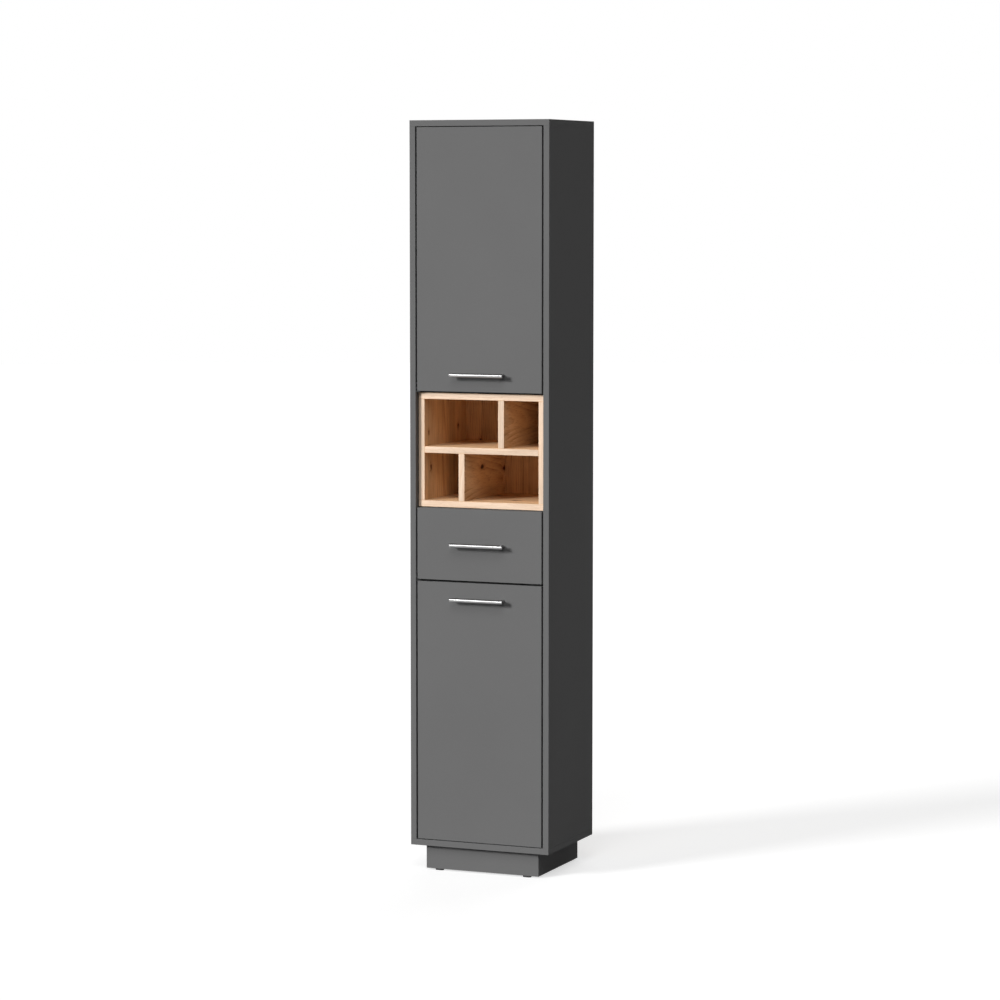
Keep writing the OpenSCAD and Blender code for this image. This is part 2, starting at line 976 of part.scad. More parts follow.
module drawer_runner() {
  y = [front_back_y, drawer_rear];
  web = [runner_space - steel_t, runner_space];
  runner_bar(web, y, [runner_z - steel_t, flange_z + steel_t]);
  runner_bar([web[0], runner_space + drawer_t], y, [runner_z - steel_t, runner_z]);
  runner_bar([steel_t + flange_gap + roll_gap, runner_space], y, [flange_z, flange_z + steel_t]);
  translate([0, rear_wheel_y, wheel_z]) {
    runner_rod([wheel_u + wheel_w + roll_gap, runner_space], shoulder_d);
    runner_rod([wheel_u - roll_gap - axle_head_t, runner_space], axle_d);
    runner_rod([wheel_u - roll_gap - axle_head_t, wheel_u - roll_gap], axle_head_d);
  }
}

module runner_wheels(y) {
  color("whitesmoke")
    both_sides()
      translate([0, y, wheel_z])
        difference() {
          runner_rod([wheel_u, wheel_u + wheel_w], wheel_d);
          runner_rod([wheel_u - past, wheel_u + wheel_w + past], axle_d + 2 * running);
        }
}

module cabinet_runners() {
  color("whitesmoke")
    both_sides()
      cabinet_runner();
}

module drawer_runners() {
  color("whitesmoke")
    both_sides()
      drawer_runner();
}

module front_wheels() {
  runner_wheels(front_wheel_y);
}

module rear_wheels() {
  runner_wheels(rear_wheel_y);
}

// The drawer's bottom slides into a groove in its front and sides
drawer_bottom_z = runner_z + drawer_groove_rise;
drawer_bottom_half = drawer_half - drawer_t + drawer_groove_depth;

module drawer_bottom_room() {
  board([-drawer_bottom_half - play, drawer_bottom_half + play],
    [front_back_y - drawer_groove_depth, drawer_rear + past],
    [drawer_bottom_z - play, drawer_bottom_z + drawer_bottom_t + play]);
}

module drawer_front() {
  color("dimgray")
    difference() {
      board([-front_half, front_half], [front_y, front_back_y],
        [drawer_front_z, drawer_front_z + drawer_front_h]);
      handle_bores(drawer_handle_z);
      drawer_bottom_room();
    }
}

module drawer_right_side() {
  color("gray")
    difference() {
      board([drawer_half - drawer_t, drawer_half], [front_back_y, drawer_rear],
        [runner_z, runner_z + drawer_box_h]);
      drawer_bottom_room();
    }
}

module drawer_left_side() {
  mirror([1, 0, 0])
    drawer_right_side();
}

module drawer_back() {
  color("gray")
    board([-drawer_half + drawer_t, drawer_half - drawer_t], [drawer_rear - drawer_t, drawer_rear],
      [drawer_bottom_z + drawer_bottom_t, runner_z + drawer_box_h]);
}

module drawer_bottom() {
  color("lightgray")
    board([-drawer_bottom_half, drawer_bottom_half],
      [front_back_y - drawer_groove_depth + drawer_bottom_play, drawer_rear],
      [drawer_bottom_z, drawer_bottom_z + drawer_bottom_t]);
}

module drawer_handle() {
  handle(drawer_handle_z);
}

module drawer_handle_screws() {
  handle_screws(drawer_handle_z);
}

// Each door turns on a pin at the top and bottom corner of its left edge. The pins
// stand in plates in the top and bottom panels and in brackets on the left side panel.
plate_inset = pivot_plate_w / 2;
lower_bracket_z = lower_door_top + pivot_bracket_gap;
upper_bracket_z = upper_door_z - pivot_bracket_gap - pivot_bracket_t;

module at_pivot(z) {
  translate([-front_half + pivot_side, front_y + pivot_depth, z])
    children();
}

// A screw along Z: its countersunk head is level with z = 0 and its tip points up
module screw() {
  cylinder(h = pivot_screw_len, d = pivot_screw_d);
  cylinder(h = pivot_screw_head_h, d1 = pivot_screw_head_d, d2 = pivot_screw_d);
}

module screw_bore() {
  cylinder(h = pivot_screw_len + play, d = pivot_screw_d + 2 * play);
  translate([0, 0, -play])
    cylinder(h = pivot_screw_head_h + 2 * play, d1 = pivot_screw_head_d + 4 * play,
      d2 = pivot_screw_d + 2 * play);
}

// The two screws of a pivot plate
module at_plate_screws() {
  for (x = [pivot_plate_screw_run, pivot_plate_len])
    translate([x, 0, 0])
      children();
}

// The two screws of a bracket's leg, which go into the left side panel
module at_leg_screws() {
  for (z = [leg_screw_low, leg_screw_low + leg_screw_step])
    translate([pivot_leg_t - side_gap - pivot_side, 0, z])
      rotate([0, -90, 0])
        children();
}

module plate_outline(grow) {
  translate([0, -plate_inset - grow])
    square([pivot_plate_len, pivot_plate_w + 2 * grow]);
  for (x = [0, pivot_plate_len])
    translate([x, 0])
      circle(d = pivot_plate_w + 2 * grow);
}

// A pivot plate fills z = 0 to its thickness, and the board that it lies in is above
module plate_room() {
  translate([0, 0, -past])
    linear_extrude(past + pivot_plate_t)
      plate_outline(play);
  at_plate_screws()
    screw_bore();
}

module plate() {
  difference() {
    linear_extrude(pivot_plate_t)
      plate_outline(0);
    at_plate_screws()
      screw_bore();
  }
}

// A plate with its pin, which reaches down through the gap into the door
module pin_plate() {
  plate();
  translate([0, 0, -end_gap - pivot_pin_len])
    cylinder(h = end_gap + pivot_pin_len + pivot_plate_t, d = pivot_pin_d);
}

module end_pivot_plates() {
  color("dimgray") {
    at_pivot(top_z)
      pin_plate();
    at_pivot(lower_z)
      mirror([0, 0, 1])
        pin_plate();
  }
}

// The bracket's plate fills z = 0 to its thickness, and its leg goes up from there
module pivot_bracket() {
  panel_x = -side_gap - pivot_side;
  difference() {
    union() {
      linear_extrude(pivot_bracket_t)
        union() {
          translate([panel_x, -plate_inset])
            square([-panel_x, pivot_plate_w]);
          circle(d = pivot_plate_w);
        }
      translate([panel_x, -plate_inset, 0])
        cube([pivot_leg_t, pivot_plate_w, pivot_leg_h]);
    }
    at_leg_screws()
      screw_bore();
  }
}

module pivot_brackets() {
  pin_len = pivot_bracket_t + pivot_bracket_gap + pivot_pin_len;
  color("dimgray") {
    at_pivot(lower_bracket_z) {
      pivot_bracket();
      translate([0, 0, pivot_bracket_t - pin_len])
        cylinder(h = pin_len, d = pivot_pin_d);
    }
    at_pivot(upper_bracket_z) {
      pivot_bracket();
      cylinder(h = pin_len, d = pivot_pin_d);
    }
  }
}

// Each door rests on a washer around its lower pin
module pivot_washer(thickness) {
  difference() {
    cylinder(h = thickness, d = pivot_plate_w);
    translate([0, 0, -past])
      cylinder(h = thickness + 2 * past, d = pivot_pin_d + 2 * running);
  }
}

module pivot_washers() {
  color("black") {
    at_pivot(lower_z)
      pivot_washer(end_gap);
    at_pivot(upper_bracket_z + pivot_bracket_t)
      pivot_washer(pivot_bracket_gap);
  }
}

module pivot_screws() {
  color("silver") {
    at_pivot(top_z)
      at_plate_screws()
        screw();
    at_pivot(lower_z)
      mirror([0, 0, 1])
        at_plate_screws()
          screw();
    for (z = [lower_bracket_z, upper_bracket_z])
      at_pivot(z)
        at_leg_screws()
          screw();
  }
}

// Draws its children at a door's two ends, turned so that the door lies above them
module at_door_ends(door_z, door_top) {
  at_pivot(door_z)
    children();
  at_pivot(door_top)
    mirror([0, 0, 1])
      children();
}

module door_plates(door_z, door_top) {
  color("dimgray")
    at_door_ends(door_z, door_top)
      difference() {
        plate();
        translate([0, 0, -past])
          cylinder(h = pivot_plate_t + 2 * past, d = pivot_pin_d + 2 * running);
      }
}

module door_plate_screws(door_z, door_top) {
  color("silver")
    at_door_ends(door_z, door_top)
      at_plate_screws()
        screw();
}

module door_panel(door_z, door_top, handle_z) {
  color("dimgray")
    difference() {
      board([-front_half, front_half], [front_y, front_back_y], [door_z, door_top]);
      handle_bores(handle_z);
      at_door_ends(door_z, door_top) {
        plate_room();
        cylinder(h = pivot_pin_len + pin_clear, d = pivot_pin_d + 2 * pin_clear);
      }
    }
}

module upper_door_panel() {
  door_panel(upper_door_z, upper_door_top, upper_handle_z);
}

module upper_door_handle() {
  handle(upper_handle_z);
}

module upper_handle_screws() {
  handle_screws(upper_handle_z);
}

module upper_door_striker() {
  striker(upper_catch_z);
}

module upper_pivot_plates() {
  door_plates(upper_door_z, upper_door_top);
}

module upper_plate_screws() {
  door_plate_screws(upper_door_z, upper_door_top);
}

module lower_door_panel() {
  door_panel(lower_door_z, lower_door_top, lower_handle_z);
}

module lower_door_handle() {
  handle(lower_handle_z);
}

module lower_handle_screws() {
  handle_screws(lower_handle_z);
}

module lower_door_striker() {
  striker(lower_catch_z);
}

module lower_pivot_plates() {
  door_plates(lower_door_z, lower_door_top);
}

module lower_plate_screws() {
  door_plate_screws(lower_door_z, lower_door_top);
}

top_panel();
bottom_panel();
left_side_lower();
left_side_upper();
right_side_lower();
right_side_upper();
drawer_shelf();
niche_floor();
niche_roof();
lower_shelf();
upper_shelf();
shelf_pins();
lower_back();
upper_back();
plinth_front_board();
plinth_rear_board();
plinth_sides();
floor_glides();
cam_locks();
cam_bolts();
dowels();
wall_bracket();
bracket_screw();
door_magnets();
niche_top_board();
niche_bottom_board();
niche_left_board();
niche_right_board();
niche_middle_shelf();
niche_upper_divider();
niche_lower_divider();
niche_back_board();
end_pivot_plates();
pivot_brackets();
pivot_washers();
pivot_screws();
upper_door_panel();
upper_door_handle();
upper_handle_screws();
upper_door_striker();
upper_pivot_plates();
upper_plate_screws();
lower_door_panel();
lower_door_handle();
lower_handle_screws();
lower_door_striker();
lower_pivot_plates();
lower_plate_screws();
drawer_front();
drawer_left_side();
drawer_right_side();
drawer_back();
drawer_bottom();
drawer_handle();
drawer_handle_screws();
drawer_runners();
cabinet_runners();
front_wheels();
rear_wheels();
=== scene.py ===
# %% [markdown]
# # A tall bathroom cabinet, dressed in Blender
# The construction model already holds every board, pin and screw at its real place. This
# scene loads it as a fixed frame, works over the pieces that show, gives each finish its own
# material, and sets up a plain studio with the camera where the photograph was taken.
# Everything is in metres: X to the right, Y to the rear, Z up.

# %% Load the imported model
import json
import math

import bmesh
import bpy
from mathutils import Euler, Matrix, Vector


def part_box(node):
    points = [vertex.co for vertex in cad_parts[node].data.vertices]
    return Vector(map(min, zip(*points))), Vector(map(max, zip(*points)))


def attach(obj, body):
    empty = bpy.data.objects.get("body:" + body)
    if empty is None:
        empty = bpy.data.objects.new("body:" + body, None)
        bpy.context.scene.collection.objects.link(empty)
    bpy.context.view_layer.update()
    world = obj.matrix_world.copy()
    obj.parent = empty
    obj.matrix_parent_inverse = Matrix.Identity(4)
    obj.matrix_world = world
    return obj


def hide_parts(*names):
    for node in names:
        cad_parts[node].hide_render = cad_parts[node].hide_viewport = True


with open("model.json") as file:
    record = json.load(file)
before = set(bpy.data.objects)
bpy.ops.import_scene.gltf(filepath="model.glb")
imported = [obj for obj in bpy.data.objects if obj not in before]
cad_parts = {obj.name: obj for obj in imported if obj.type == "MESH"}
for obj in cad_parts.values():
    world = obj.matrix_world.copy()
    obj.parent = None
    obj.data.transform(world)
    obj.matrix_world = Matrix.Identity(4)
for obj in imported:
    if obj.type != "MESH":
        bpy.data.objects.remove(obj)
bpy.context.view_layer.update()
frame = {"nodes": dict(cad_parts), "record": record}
bpy.ops.object.select_all(action="DESELECT")
nodes = frame["nodes"]
body_nodes = frame["record"]["behaviour"]["bodies"]
node_body = {name: body for body, names in body_nodes.items() for name in names}
slot_of = {part["node"]: part["material_slot"] for part in frame["record"]["subparts"]}

# %% [markdown]
# ## The camera
# The photograph was taken from the right with a long lens, a little below the top of the
# cabinet. The place, turn and focal length below come from matching the cabinet's corners
# to the corners in the picture. A lens shift could keep the upright edges parallel, but the
# other views would then cut the cabinet off, so the camera dips slightly instead.

# %% Camera
SENSOR_WIDTH = 36.0  # millimetres
PICTURE_WIDTH = 1000.0  # pixels
FOCAL_LENGTH = 3418.1  # pixels of that picture
CAMERA_PLACE = (3.26881, -7.83918, 1.67959)
CAMERA_TURN = 0.39521  # radians, to the left
CAMERA_DIP = 0.08879  # radians, below level
FAR_CLIP = 60.0

camera_data = bpy.data.cameras.new("photo_camera")
camera_data.sensor_width = SENSOR_WIDTH
camera_data.lens = FOCAL_LENGTH * SENSOR_WIDTH / PICTURE_WIDTH
camera_data.clip_end = FAR_CLIP
camera = bpy.data.objects.new("photo_camera", camera_data)
camera.location = CAMERA_PLACE
camera.rotation_euler = (math.pi / 2 - CAMERA_DIP, 0.0, CAMERA_TURN)
bpy.context.scene.collection.objects.link(camera)
bpy.context.scene.camera = camera
print("lens", round(camera_data.lens, 1), "mm")

# %% [markdown]
# ## Writing materials
# A material is a small graph of nodes. It could be drawn by hand in the shader editor, but
# all the finishes share the same few moves, so helpers keep each graph short. The first
# ones add a node, do a sum and mix two colours. All patterns read Object coordinates,
# because every piece sits at the origin with its place in its mesh.

# %% Adding nodes
MIX_FACTOR, MIX_A, MIX_B, MIX_RESULT = 0, 6, 7, 2  # sockets of a Mix node for colours


def feed(tree, socket, value):
    if isinstance(value, bpy.types.NodeSocket):
        tree.links.new(value, socket)
    else:
        socket.default_value = value


def add(tree, kind, **inputs):
    node = tree.nodes.new(kind)
    for key, value in inputs.items():
        name = key.replace("_", " ")
        if name in node.inputs:
            feed(tree, node.inputs[name], value)
        else:
            setattr(node, key, value)
    return node


def calc(tree, operation, a, b=0.0):
    node = add(tree, "ShaderNodeMath", operation=operation)
    feed(tree, node.inputs[0], a)
    feed(tree, node.inputs[1], b)
    return node.outputs[0]


def times(tree, a, b):
    return calc(tree, "MULTIPLY", a, b)


def blend_colour(tree, factor, a, b, mode="MIX"):
    node = add(tree, "ShaderNodeMix", data_type="RGBA", blend_type=mode)
    for index, value in ((MIX_FACTOR, factor), (MIX_A, a), (MIX_B, b)):
        feed(tree, node.inputs[index], value)
    return node.outputs[MIX_RESULT]


print("node helpers ready")

# %% [markdown]
# ## Patterns
# A noise texture gives the slow clouds and the fine grain of nearly every finish. Its value
# seldom leaves the range from 0.3 to 0.7, so that range is spread over the two ends that a
# finish needs. A bump then lets the same pattern catch the light.

# %% Pattern helpers
NOISE_LOW, NOISE_HIGH = 0.3, 0.7


def srgb(r, g, b):
    def one(c):
        c /= 255.0
        return c / 12.92 if c <= 0.04045 else ((c + 0.055) / 1.055) ** 2.4

    return (one(r), one(g), one(b), 1.0)


def new_material(name):
    mat = bpy.data.materials.new(name)
    mat.use_nodes = True
    tree = mat.node_tree
    shader = tree.nodes["Principled BSDF"]
    coords = tree.nodes.new("ShaderNodeTexCoord").outputs["Object"]
    return mat, tree, shader, coords


def noise(tree, vector, scale, detail=3.0, roughness=0.5):
    return add(tree, "ShaderNodeTexNoise", Vector=vector, Scale=scale,
               Detail=detail, Roughness=roughness)


def remap(tree, value, low, high, to_low=0.0, to_high=1.0):
    node = add(tree, "ShaderNodeMapRange", Value=value)
    for name, number in zip(("From Min", "From Max", "To Min", "To Max"),
                            (low, high, to_low, to_high)):
        node.inputs[name].default_value = number
    return node.outputs[0]


def vary(tree, pattern, low, high):
    return remap(tree, pattern, NOISE_LOW, NOISE_HIGH, low, high)


def toned(tree, colour, tone):
    return blend_colour(tree, 1.0, colour, tone, "MULTIPLY")


def bump(tree, shader, height, strength, distance):
    node = add(tree, "ShaderNodeBump", Height=height, Strength=strength, Distance=distance)
    tree.links.new(node.outputs[0], shader.inputs["Normal"])


print("noise is spread from", NOISE_LOW, "to", NOISE_HIGH)

# %% [markdown]
# ## Graphite laminate
# The grey boards are particle board under a printed melamine film. The film is matt, with a
# very fine pearl grain that breaks up the light, and it varies a little in tone over the
# length of a board. One flat colour would look like plastic, so two noises vary it: a fine
# one for the grain and a broad one for the tone. The drawer's boards have a paler film.

# %% Graphite laminate
PEARL_SCALE, TONE_SCALE = 1400.0, 3.5  # noise cells in a metre
PEARL_REACH, TONE_REACH = (0.955, 1.045), (0.975, 1.025)  # shares of the colour


def laminate(name, colour, rough):
    mat, tree, shader, coords = new_material(name)
    grain = noise(tree, coords, PEARL_SCALE, 2.0).outputs[0]
    cloud = noise(tree, coords, TONE_SCALE, 3.0).outputs[0]
    fine = vary(tree, grain, *PEARL_REACH)
    broad = vary(tree, cloud, *TONE_REACH)
    film = toned(tree, colour, times(tree, fine, broad))
    tree.links.new(film, shader.inputs["Base Color"])
    sheen = vary(tree, grain, rough - 0.05, rough + 0.06)
    tree.links.new(sheen, shader.inputs["Roughness"])
    shader.inputs["Specular IOR Level"].default_value = 0.03
    bump(tree, shader, grain, 0.2, 0.00005)
    return mat


graphite = srgb(108, 108, 108)
graphite_front = laminate("graphite_front", graphite, 0.6)
graphite_board = laminate("graphite_board", graphite, 0.6)
drawer_laminate = laminate("drawer_laminate", srgb(150, 150, 150), 0.5)
print("laminates ready")

# %% [markdown]
# ## Raw edges
# Where no film covers it, a particle board shows its chips: light wood flakes of a
# millimetre or two, pressed at random. Cells of a Voronoi texture look like that once a
# noise has made them ragged and each has its own tone. The chips show at the rear edges and
# inside the grooves and bores.


# %% Moving and stretching a pattern
def moved(tree, vector, offset):
    node = add(tree, "ShaderNodeVectorMath", operation="ADD")
    feed(tree, node.inputs[0], vector)
    feed(tree, node.inputs[1], offset)
    return node.outputs[0]


def stretched(tree, vector, factors):
    node = add(tree, "ShaderNodeVectorMath", operation="MULTIPLY")
    feed(tree, node.inputs[0], vector)
    feed(tree, node.inputs[1], factors)
    return node.outputs[0]


def ragged(tree, vector, scale, reach):
    wobble = noise(tree, vector, scale, 2.0).outputs[1]
    node = add(tree, "ShaderNodeVectorMath", operation="SCALE")
    feed(tree, node.inputs[0], wobble)
    node.inputs["Scale"].default_value = reach
    return node.outputs[0]


print("pattern moves ready")

# %% Raw particle board
CHIP_SCALE = 620.0  # chips in a metre
CHIP_WOBBLE, CHIP_PUSH = 260.0, 0.0022  # noise cells in a metre, and their reach


def particle_board():
    mat, tree, shader, coords = new_material("raw_particle_board")
    pushed = moved(tree, coords, ragged(tree, coords, CHIP_WOBBLE, CHIP_PUSH))
    chips = add(tree, "ShaderNodeTexVoronoi", Vector=pushed, Scale=CHIP_SCALE)
    chance = add(tree, "ShaderNodeSeparateColor", Color=chips.outputs["Color"]).outputs[0]
    dark_chip, light_chip = srgb(128, 98, 66), srgb(206, 176, 134)
    colour = blend_colour(tree, chance, dark_chip, light_chip)
    tree.links.new(colour, shader.inputs["Base Color"])
    shader.inputs["Roughness"].default_value = 0.85
    shader.inputs["Specular IOR Level"].default_value = 0.2
    bump(tree, shader, chips.outputs["Distance"], 0.5, 0.0002)
    return mat


raw_board = particle_board()
print("raw particle board ready")

# %% [markdown]
# ## Hardboard
# The thin backs are hardboard, grey inside and bare at the rear. It is pressed from fibres,
# so its rear has no chips, only a fine felt and slow brown clouds. Two noises, mixed, give
# both, and the fine one also gives the rough skin.

# %% Rear of the hardboard
FELT_SCALE, STAIN_SCALE = 900.0, 9.0  # noise cells in a metre
FELT_SHARE, STAIN_SHARE = 0.6, 0.4


def hardboard():
    mat, tree, shader, coords = new_material("hardboard_rear")
    felt = noise(tree, coords, FELT_SCALE, 3.0, 0.6).outputs[0]
    cloud = noise(tree, coords, STAIN_SCALE, 4.0).outputs[0]
    both = calc(tree, "ADD", times(tree, felt, FELT_SHARE), times(tree, cloud, STAIN_SHARE))
    dark_fibre, light_fibre = srgb(132, 102, 72), srgb(162, 130, 97)
    colour = blend_colour(tree, vary(tree, both, 0.0, 1.0), dark_fibre, light_fibre)
    tree.links.new(colour, shader.inputs["Base Color"])
    shader.inputs["Roughness"].default_value = 0.8
    bump(tree, shader, felt, 0.4, 0.0002)
    return mat


raw_hardboard = hardboard()
print("hardboard ready")

# %% [markdown]
# ## Knotty oak decor
# The niche is lined with a light oak print. Stripes from one wave texture would look like
# wallpaper, so the pattern is built as real wood is: a log whose growth rings are cut by the
# flat faces of the board. The coordinates are turned until the grain lies along Z, and the
# axis of the log is set a few centimetres beside the board and a few degrees off it. Its
# rings then show as long pointed arches on a wide face and as straight lines on a narrow
# one. Every board has its own place in its own log.
#
# The board is first divided into strips, each with its own tone and its own shift along the
# log, as a glued board has.

# %% Oak: the board's place in the log
TURN = {"X": (0.0, math.pi / 2, 0.0), "Y": (math.pi / 2, 0.0, 0.0), "Z": (0.0, 0.0, 0.0)}
STRIP_START = 5.013  # keeps the strips' numbers above zero
STRIP_SHIFT = (0.03, 0.37)  # the most that a strip moves across and along the log


def along_grain(tree, coords, grain_axis, middle):
    turned = Euler(TURN[grain_axis]).to_matrix() @ Vector(middle)
    place = add(tree, "ShaderNodeMapping", Vector=coords,
                Rotation=TURN[grain_axis], Location=-turned)
    return place.outputs[0]


def oak_strips(tree, board, sideways, strip):
    counted = calc(tree, "DIVIDE", calc(tree, "ADD", sideways, STRIP_START), strip)
    chance = add(tree, "ShaderNodeTexWhiteNoise", noise_dimensions="1D",
                 W=calc(tree, "FLOOR", counted)).outputs["Value"]
    across, along = STRIP_SHIFT
    slide = add(tree, "ShaderNodeCombineXYZ", X=times(tree, chance, across),
                Z=times(tree, chance, along))
    return moved(tree, board, slide.outputs[0]), chance


def in_log(tree, board, log, tilt):
    place = add(tree, "ShaderNodeMapping", Vector=board,
                Rotation=(*tilt, 0.0), Location=(*log, 0.0))
    return place.outputs[0]


print("grain axes:", list(TURN))

# %% [markdown]
# Knots are few, so they sit in chosen cells of a sparse flat Voronoi pattern that is longer
# along the grain. The distance to the middle of a cell gives a dark core and a brown halo,
# and noise makes their outline ragged.

# %% Oak: knots
KNOTS_ACROSS, KNOTS_ALONG = 17.0, 8.5  # cells in a metre
KNOTLESS = 0.58  # share of the cells without a knot
KNOT_SMALL, KNOT_LARGE = 0.35, 1.05  # sizes, in cells
HALO_RIM, HALO_FULL = 0.38, 0.03  # distances from a knot's middle, in its size
CORE_RIM, CORE_FULL = 0.13, 0.05  # the same for its core
KNOT_WOBBLE, WOBBLE_REACH = 90.0, 0.12  # noise cells in a metre, and their reach in cells


def oak_knots(tree, board, sideways, along, seed, amount):
    spots = add(tree, "ShaderNodeCombineXYZ", X=times(tree, sideways, KNOTS_ACROSS),
                Y=times(tree, along, KNOTS_ALONG))
    scattered = moved(tree, spots.outputs[0], (seed, 2.0 * seed, 0.0))
    spread = moved(tree, scattered, ragged(tree, board, KNOT_WOBBLE, WOBBLE_REACH))
    cells = add(tree, "ShaderNodeTexVoronoi", voronoi_dimensions="2D", Vector=spread, Scale=1.0)
    lot = add(tree, "ShaderNodeSeparateColor", Color=cells.outputs["Color"])
    size = remap(tree, lot.outputs[1], 0.0, 1.0, KNOT_SMALL, KNOT_LARGE)
    reach = calc(tree, "DIVIDE", cells.outputs["Distance"], size)
    chosen = times(tree, calc(tree, "GREATER_THAN", lot.outputs[0], KNOTLESS), amount)
    halo = times(tree, remap(tree, reach, HALO_RIM, HALO_FULL), chosen)
    core = times(tree, remap(tree, reach, CORE_RIM, CORE_FULL), chosen)
    return times(tree, halo, halo), core


print("one cell in", round(1 / (1 - KNOTLESS), 1), "holds a knot")

# %% [markdown]
# The rings follow the distance from the axis of the log. A slow and a quick noise make them
# uneven, and knots push them aside. Each ring darkens slowly towards its late wood and then
# starts afresh, which the fraction of the ring's number gives. All these noises are drawn
# out along the grain.

# %% Oak: rings
RING_WAVES, RING_RIPPLES, KNOT_PUSH = 0.034, 0.0035, 0.009  # how far the rings wander
LATE_WOOD = 1.8  # how late in a year the wood darkens
# Noise cells in a metre, across the grain and along it
SLOW, QUICK, PATCHES = (9.0, 2.2), (60.0, 6.0), (34.0, 5.0)


def drawn_out(tree, wood, across, along, detail=2.0, roughness=0.5):
    long_cells = stretched(tree, wood, (across, across, along))
    return noise(tree, long_cells, 1.0, detail, roughness).outputs[0]


def oak_rings(tree, wood, halo, ring):
    across_log = add(tree, "ShaderNodeVectorMath", operation="LENGTH")
    tree.links.new(stretched(tree, wood, (1.0, 1.0, 0.0)), across_log.inputs[0])
    slow = drawn_out(tree, wood, *SLOW)
    quick = drawn_out(tree, wood, *QUICK)
    patch = drawn_out(tree, wood, *PATCHES)
    uneven = calc(tree, "ADD", times(tree, slow, RING_WAVES), times(tree, quick, RING_RIPPLES))
    uneven = calc(tree, "ADD", uneven, times(tree, halo, KNOT_PUSH))
    radius = calc(tree, "ADD", across_log.outputs["Value"], uneven)
    year = calc(tree, "FRACT", calc(tree, "DIVIDE", radius, ring))
    late = calc(tree, "POWER", year, LATE_WOOD)
    strong = times(tree, vary(tree, quick, 0.3, 1.0), remap(tree, patch, 0.38, 0.62, 0.15, 1.0))
    return times(tree, late, strong)


print("rings wander", RING_WAVES, "m")

# %% [markdown]
# The colour is laid on in turns, as on a press: the light wood, the rings, the fine
# streaks, the pores, the tone of the strip with slow clouds, the halo of a knot and last its
# core. The streaks also give the sheen, and streaks and pores together give the bump.

# %% Oak: the whole print
# Noise cells in a metre, across the grain and along it
STREAKS, PORES, CLOUDS = (420.0, 11.0), (1600.0, 70.0), (22.0, 3.5)
pore_brown, halo_brown, knot_black = srgb(140, 98, 64), srgb(158, 98, 58), srgb(66, 34, 18)


def oak(name, grain_axis, middle, log, tilt, strip, light, dark, ring, across=1,
        knots=1.0, knot_seed=0.0):
    mat, tree, shader, coords = new_material(name)
    board = along_grain(tree, coords, grain_axis, middle)
    apart = add(tree, "ShaderNodeSeparateXYZ", Vector=board)
    sideways, along = apart.outputs[across], apart.outputs[2]
    slid, chance = oak_strips(tree, board, sideways, strip)
    wood = in_log(tree, slid, log, tilt)
    halo, core = oak_knots(tree, board, sideways, along, knot_seed, knots)
    rings = oak_rings(tree, wood, halo, ring)
    streaks = drawn_out(tree, wood, *STREAKS, 3.0, 0.6)
    pores = drawn_out(tree, wood, *PORES)
    cloud = drawn_out(tree, wood, *CLOUDS, 3.0)

    colour = blend_colour(tree, times(tree, rings, 0.85), light, dark)
    colour = blend_colour(tree, remap(tree, streaks, 0.52, 0.72, 0.0, 0.5), colour, dark)
    colour = blend_colour(tree, remap(tree, pores, 0.6, 0.72, 0.0, 0.35), colour, pore_brown)
    strip_tone = remap(tree, chance, 0.0, 1.0, 0.84, 1.06)
    cloud_tone = remap(tree, cloud, 0.35, 0.65, 0.86, 1.1)
    colour = toned(tree, colour, times(tree, strip_tone, cloud_tone))
    colour = blend_colour(tree, times(tree, halo, 0.75), colour, halo_brown)
    colour = blend_colour(tree, core, colour, knot_black)

    tree.links.new(colour, shader.inputs["Base Color"])
    tree.links.new(vary(tree, streaks, 0.5, 0.64), shader.inputs["Roughness"])
    shader.inputs["Specular IOR Level"].default_value = 0.25
    bump(tree, shader, calc(tree, "ADD", streaks, pores), 0.25, 0.00015)
    return mat


print("oak print ready")

# %% [markdown]
# Each board of the niche now gets its own print: the direction of its grain, the axis of
# its log beside it, the tilt of that axis, the width of its strips and a seed for its knots.
# The front edges carry a band with calm straight grain and no knots.

# %% Oak: one print for each board
WIDE, STAVE, WHOLE, EDGE_WHOLE = 0.15, 0.043, 0.4, 0.5  # widths of a strip
RING, DIVIDER_RING, EDGE_RING = 0.0045, 0.0075, 0.0032  # widths of a growth ring
oak_light, oak_dark = srgb(244, 205, 160), srgb(164, 106, 62)
edge_light, edge_dark = srgb(251, 224, 198), srgb(208, 160, 122)
OAK = {}


def print_board(node_name, grain_axis, log, tilt, strip, knot_seed, ring=RING, across=1):
    low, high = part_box(node_name)
    middle = [(low[i] + high[i]) / 2 for i in range(3)]
    OAK[node_name] = oak(node_name + "_oak", grain_axis, middle, log, tilt, strip,
                         oak_light, oak_dark, ring, across, knot_seed=knot_seed)


def edge_band(name, grain_axis, log):
    return oak(name, grain_axis, (0, 0, 0), log, (0, 0), EDGE_WHOLE,
               edge_light, edge_dark, EDGE_RING, knots=0.0)


